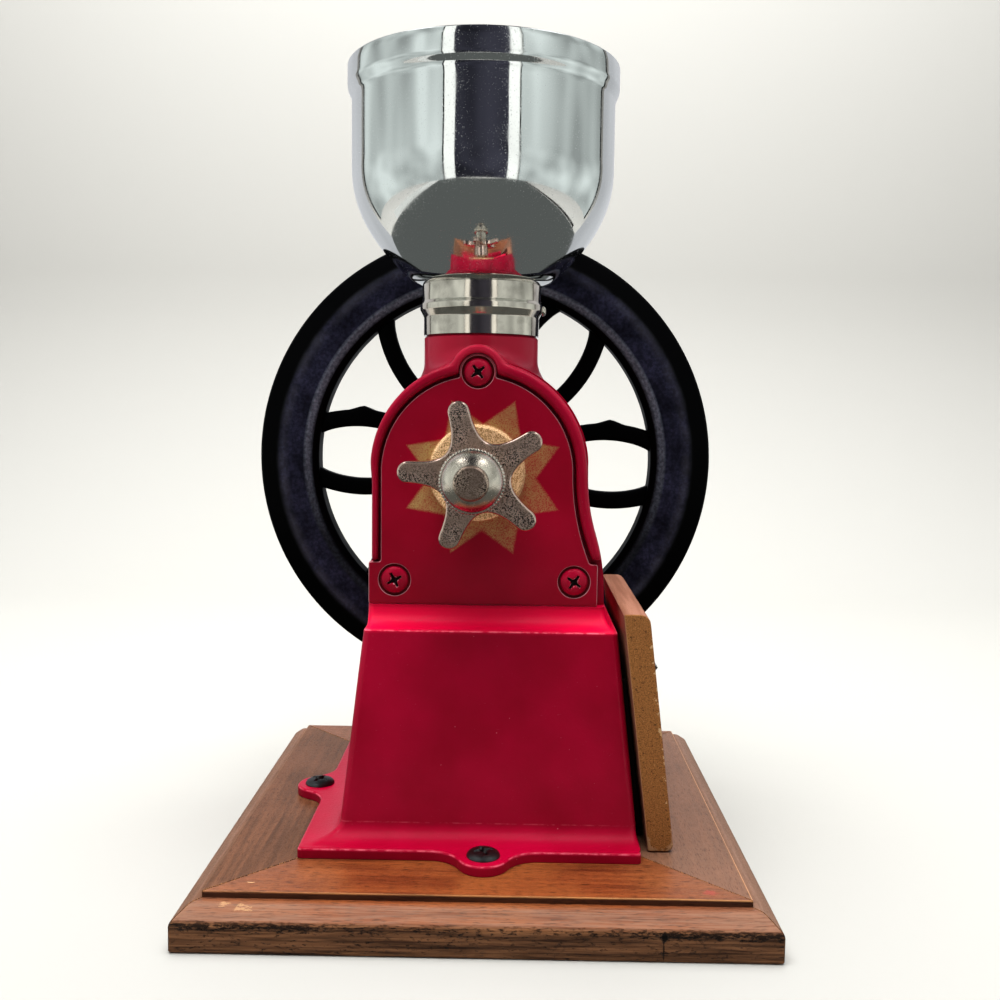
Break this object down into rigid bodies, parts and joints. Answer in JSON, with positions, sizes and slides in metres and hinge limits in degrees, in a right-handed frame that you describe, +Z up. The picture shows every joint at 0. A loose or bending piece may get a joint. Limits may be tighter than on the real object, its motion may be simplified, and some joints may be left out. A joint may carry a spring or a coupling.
{
  "type": "manual coffee grinder",
  "caption": "Upright hand coffee mill: flywheel with crank knob, chromed hopper, star regulator, side drawer, square wooden base.",
  "frame": {"origin": "centre of the underside of the wooden base", "axes": "+Z up, +X to the drawer side, +Y to the flywheel side, so the regulator faces -Y"},
  "size_m": [0.217, 0.2459, 0.3223],
  "materials": {
    "varnished_wood": "brown varnish, satin",
    "plywood": "bare ply",
    "red_enamel": "gloss crimson enamel on cast iron",
    "dark_steel": "blackened steel",
    "chrome": "polished chrome plate",
    "nickel": "dull nickel plate",
    "bronze": "turned bronze",
    "steel": "bright turned steel",
    "black_iron": "semi-gloss black paint on cast iron",
    "turned_wood": "dark varnish",
    "fibreboard": "raw cut edge, thin brown film"
  },
  "bodies": {
    "mill": {"base_rail_front": "varnished_wood", "base_rail_right": "varnished_wood", "base_rail_rear": "varnished_wood", "base_rail_left": "varnished_wood", "base_centre_panel": "plywood", "body_casting": "red_enamel", "front_plate": "red_enamel", "cover_screw_top": "red_enamel", "cover_screw_left": "red_enamel", "cover_screw_right": "red_enamel", "base_screw_front": "dark_steel", "base_screw_left": "dark_steel", "base_screw_rear": "dark_steel", "hopper_bowl": "chrome", "hopper_collar": "nickel", "collar_screw_right": "nickel", "collar_screw_rear": "nickel", "feed_bush": "bronze", "rear_bush": "bronze", "ring_burr": "dark_steel", "return_spring": "steel"},
    "feed_carriage": {"thrust_ball": "steel"},
    "regulator": {"feed_screw": "steel", "star_regulator": "nickel", "regulator_pin": "steel"},
    "lock_nut": {"lock_nut": "chrome"},
    "wheel_shaft": {"main_shaft": "steel", "wheel_key": "steel", "cone_burr": "dark_steel", "auger": "dark_steel", "flywheel": "black_iron", "wheel_washer": "steel", "wheel_nut": "steel", "crank_spindle": "steel", "knob_cap_screw": "steel"},
    "crank_knob": {"crank_knob": "turned_wood"},
    "drawer": {"drawer_front": "fibreboard", "drawer_bottom": "plywood", "drawer_side_front": "plywood", "drawer_side_rear": "plywood", "drawer_back": "plywood", "drawer_pull": "dark_steel", "pull_screw_front": "dark_steel", "pull_screw_rear": "dark_steel"}
  },
  "joints": [
    {"name": "shaft_feed", "type": "slide", "parent": "mill", "child": "feed_carriage", "axis": [0, 1, 0], "range_m": [-0.00059, 0.00059], "deforming": ["return_spring"]},
    {"name": "regulator_turn", "type": "hinge", "parent": "feed_carriage", "child": "regulator", "pos_m": [-0.0035, -0.06, 0.16], "axis": [0, 1, 0], "range_deg": [-170, 170]},
    {"name": "lock_nut_turn", "type": "hinge", "parent": "regulator", "child": "lock_nut", "pos_m": [-0.0035, -0.067, 0.16], "axis": [0, 1, 0], "range_deg": [-90, 0]},
    {"name": "crank_turn", "type": "hinge", "parent": "feed_carriage", "child": "wheel_shaft", "pos_m": [-0.0035, 0.07, 0.16], "axis": [0, 1, 0], "continuous": true},
    {"name": "knob_spin", "type": "hinge", "parent": "wheel_shaft", "child": "crank_knob", "pos_m": [-0.00764, 0.112, 0.06509], "axis": [0, 1, 0], "continuous": true},
    {"name": "drawer_slide", "type": "slide", "parent": "mill", "child": "drawer", "axis": [1, 0, 0], "range_m": [0, 0.09]}
  ],
  "couplings": [
    {"joint": "regulator_turn", "follows": "shaft_feed", "rad_per_m": 5026.5}
  ]
}
